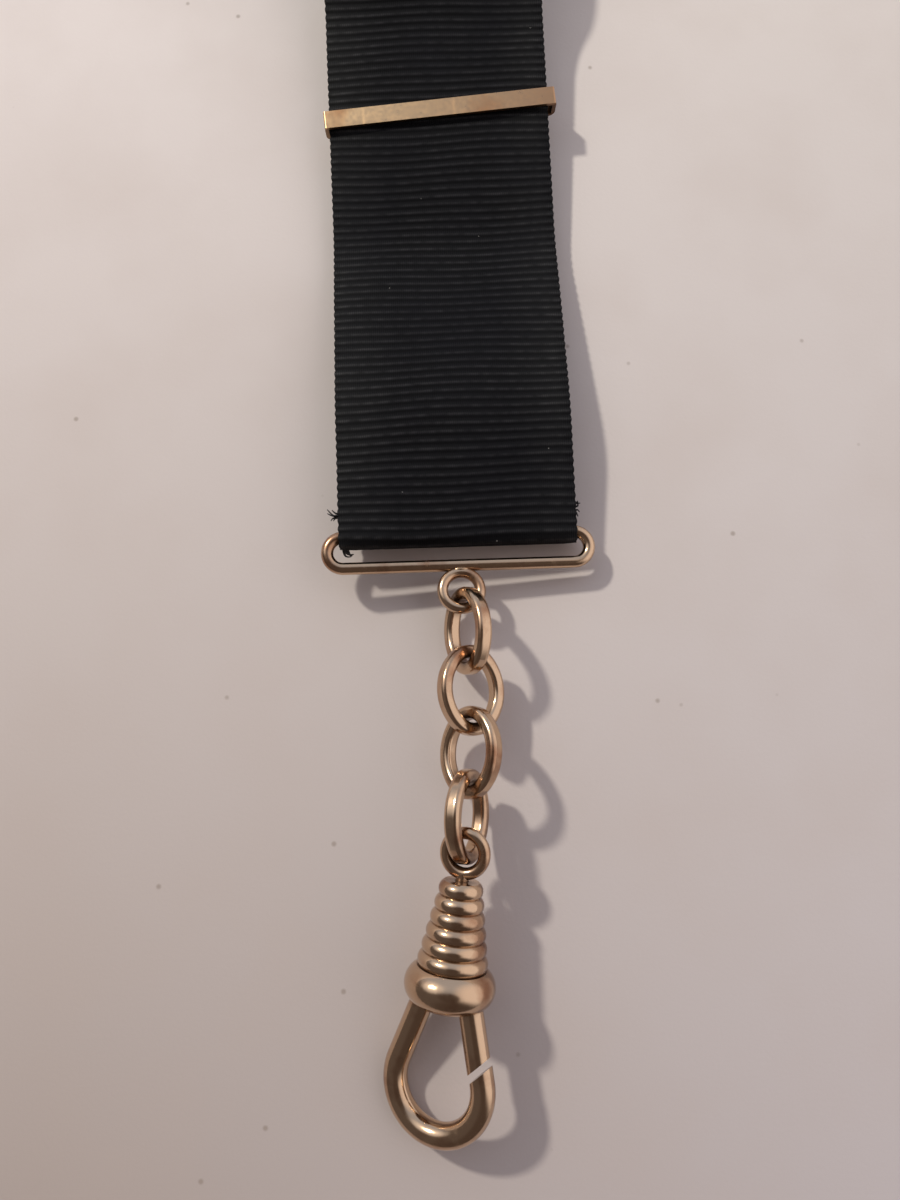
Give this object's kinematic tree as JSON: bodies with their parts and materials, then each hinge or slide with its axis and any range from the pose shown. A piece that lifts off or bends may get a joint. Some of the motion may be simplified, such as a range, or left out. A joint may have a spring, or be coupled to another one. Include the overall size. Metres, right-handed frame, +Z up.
{
  "type": "pocket watch ribbon fob",
  "caption": "Pocket watch fob: a doubled ribbon with a sliding keeper, an oval wire ring, a short link chain and a ribbed swivel clasp with a sprung gate.",
  "frame": {"origin": "on the table, under the middle of the fob's overall box", "axes": "+Z up from the table, +Y along the ribbon away from the watch clasp, +X to the right"},
  "size_m": [0.0278, 0.1414, 0.0085],
  "materials": {
    "ribbon": "ribbed black grosgrain",
    "thread": "matt thread",
    "brushed_gilt": "dull brushed gilt",
    "gilt": "polished rose gilt, a little worn",
    "spring_steel": "bright wire"
  },
  "bodies": {
    "root": {"ribbon": "ribbon", "end_stitches": "thread"},
    "keeper": {"slide_keeper": "brushed_gilt"},
    "ring": {"wire_ring": "gilt", "ring_eye": "gilt"},
    "link_1": {"chain_link_1": "gilt"},
    "link_2": {"chain_link_2": "gilt"},
    "link_3": {"chain_link_3": "gilt"},
    "link_4": {"chain_link_4": "gilt"},
    "eye": {"swivel_eye": "gilt", "stem_washer": "gilt"},
    "clasp": {"ribbed_cone": "gilt", "bead_collar": "gilt", "hook_arm": "gilt", "gate_pin": "spring_steel", "gate_spring": "spring_steel"},
    "gate": {"gate_arm": "gilt"}
  },
  "joints": [
    {"name": "keeper_slide", "type": "slide", "parent": "root", "child": "keeper", "axis": [0, 0.996, 0.0896], "range_m": [-0.012, 0.006]},
    {"name": "ring_turn", "type": "hinge", "parent": "root", "child": "ring", "pos_m": [0, -0.01356, 0.0028], "axis": [0.9981, 0, -0.061], "range_deg": [-80, 80]},
    {"name": "link_1_swing", "type": "hinge", "parent": "ring", "child": "link_1", "pos_m": [0.00031, -0.02225, 0.00358], "axis": [-0.8689, 0.0224, 0.4945], "range_deg": [-35, 35]},
    {"name": "link_2_swing", "type": "hinge", "parent": "link_1", "child": "link_2", "pos_m": [0.0005, -0.02813, 0.0043], "axis": [0.5459, 0.036, 0.8371], "range_deg": [-35, 35]},
    {"name": "link_3_swing", "type": "hinge", "parent": "link_2", "child": "link_3", "pos_m": [0.00022, -0.03406, 0.00461], "axis": [0.7021, -0.0874, -0.7067], "range_deg": [-35, 35]},
    {"name": "link_4_swing", "type": "hinge", "parent": "link_3", "child": "link_4", "pos_m": [-0.00035, -0.03995, 0.00495], "axis": [-0.8906, 0.0553, -0.4515], "range_deg": [-35, 35]},
    {"name": "eye_swing", "type": "hinge", "parent": "link_4", "child": "eye", "pos_m": [-0.00086, -0.04455, 0.00572], "axis": [-0.2746, -0.0739, 0.9587], "range_deg": [-35, 35]},
    {"name": "clasp_swivel", "type": "hinge", "parent": "eye", "child": "clasp", "pos_m": [-0.00282, -0.0564, 0.00425], "axis": [0.1621, 0.9792, 0.1219], "continuous": true},
    {"name": "gate_swing", "type": "hinge", "parent": "clasp", "child": "gate", "pos_m": [-0.00116, -0.05688, 0.00503], "axis": [0.435, 0.0399, -0.8996], "range_deg": [0, 30], "stiffness_Nm_per_rad": 0.006, "springref_deg": -20.05, "deforming": ["gate_spring"]}
  ]
}
